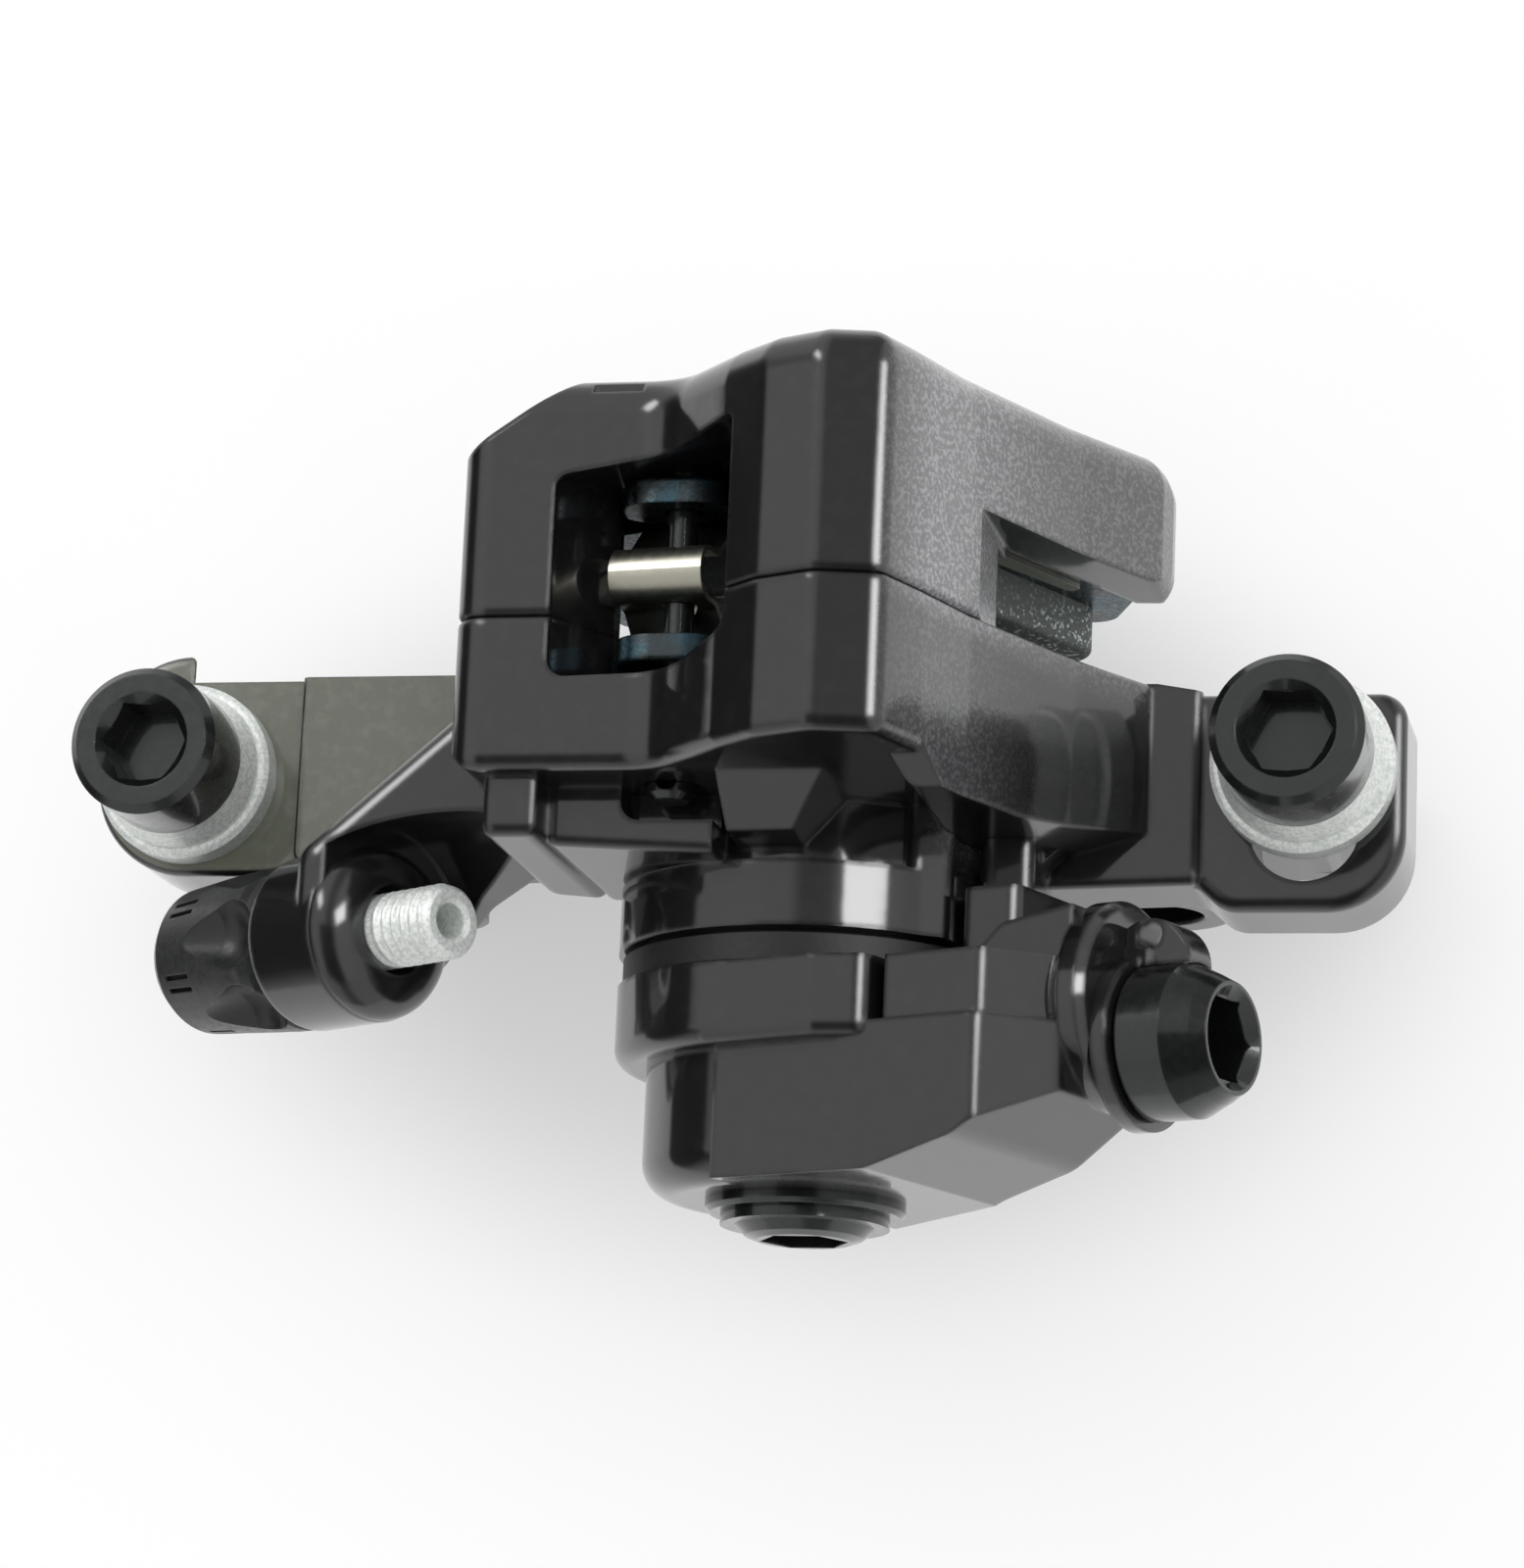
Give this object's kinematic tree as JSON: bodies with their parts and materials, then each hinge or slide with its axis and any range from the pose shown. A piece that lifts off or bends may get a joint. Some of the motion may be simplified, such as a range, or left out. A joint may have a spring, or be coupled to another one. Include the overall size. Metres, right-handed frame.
{
  "type": "bicycle disc brake caliper",
  "caption": "Cable-pulled disc brake caliper: two-half body with pads and leaf spring, swinging arm with cable clamp, cable stop with adjuster, and a frame bracket.",
  "frame": {"origin": "midway between the two frame holes of the adapter bracket, on its face that meets the frame", "axes": "+X along the line of the frame holes and of the mount bolts, towards the cable clamp; +Y across the rotor, towards the wheel; +Z from the bracket up along the mount bolts"},
  "size_m": [0.087, 0.0548, 0.0493],
  "materials": {
    "lacquer": "thick glossy black lacquer on cast aluminium",
    "black_steel": "blackened alloy steel, half glossy",
    "zinc": "bright zinc plating, slightly grainy",
    "knob": "moulded black plastic, half glossy",
    "seal": "black rubber, matt",
    "spring": "satin stainless spring steel",
    "hard_steel": "hardened ground steel",
    "cage": "dark moulded plastic",
    "ball": "polished bearing steel",
    "pad_steel": "blue-black coated pressed steel",
    "lining": "dark friction compound with bright metal flecks"
  },
  "bodies": {
    "bracket": {"adapter_bracket": "lacquer", "mount_bolt_left": "black_steel", "mount_bolt_right": "black_steel", "dished_washer_left": "zinc", "dished_washer_right": "zinc", "ball_washer_left": "zinc", "ball_washer_right": "zinc"},
    "caliper": {"arm_side_body": "lacquer", "wheel_side_body": "lacquer", "body_bolt_left": "black_steel", "body_bolt_right": "black_steel", "pad_pin": "black_steel", "pad_spring": "spring", "fixed_ramp": "hard_steel", "dust_seal": "seal", "return_spring": "spring"},
    "arm": {"brake_arm": "lacquer", "ramp_spindle": "hard_steel", "arm_washer": "black_steel", "arm_bolt": "black_steel", "clamp_plate": "lacquer", "clamp_bolt": "black_steel"},
    "cage": {"ball_cage": "cage", "ramp_ball_a": "ball", "ramp_ball_b": "ball", "ramp_ball_c": "ball"},
    "arm_pad": {"pressure_foot": "hard_steel", "arm_pad_plate": "pad_steel", "arm_pad_lining": "lining"},
    "wheel_pad": {"wheel_pad_plate": "pad_steel", "wheel_pad_lining": "lining"},
    "setter": {"set_screw": "hard_steel", "set_dial": "knob"},
    "barrel": {"barrel_screw": "zinc", "barrel_knob": "knob"}
  },
  "joints": [
    {"name": "caliper_alignment", "type": "slide", "parent": "bracket", "child": "caliper", "axis": [0, 1, 0], "range_m": [-0.0003, 0.0015]},
    {"name": "arm_swing", "type": "hinge", "parent": "caliper", "child": "arm", "pos_m": [0.0058, 0, 0.0155], "axis": [0, -1, 0], "range_deg": [0, 38], "stiffness_Nm_per_rad": 0.4, "springref_deg": -22.92, "deforming": ["return_spring"]},
    {"name": "cage_turn", "type": "hinge", "parent": "caliper", "child": "cage", "pos_m": [0.0058, 0, 0.0155], "axis": [0, -1, 0], "range_deg": [0, 19]},
    {"name": "arm_pad_slide", "type": "slide", "parent": "caliper", "child": "arm_pad", "axis": [0, 1, 0], "range_m": [0, 0.0009], "deforming": ["pad_spring"]},
    {"name": "set_screw_turn", "type": "hinge", "parent": "caliper", "child": "setter", "pos_m": [0.0058, 0, 0.0155], "axis": [0, 1, 0], "range_deg": [0, 288]},
    {"name": "wheel_pad_slide", "type": "slide", "parent": "caliper", "child": "wheel_pad", "axis": [0, -1, 0], "range_m": [0, 0.0008]},
    {"name": "barrel_turn", "type": "hinge", "parent": "caliper", "child": "barrel", "pos_m": [-0.0212, -0.0059, 0.0228], "axis": [0.8453, 0, 0.5344], "range_deg": [0, 1080]}
  ],
  "couplings": [
    {"joint": "cage_turn", "follows": "arm_swing", "ratio": 0.5},
    {"joint": "arm_pad_slide", "follows": "arm_swing", "m_per_rad": 0.001357},
    {"joint": "set_screw_turn", "follows": "wheel_pad_slide", "rad_per_m": 6283.2}
  ]
}
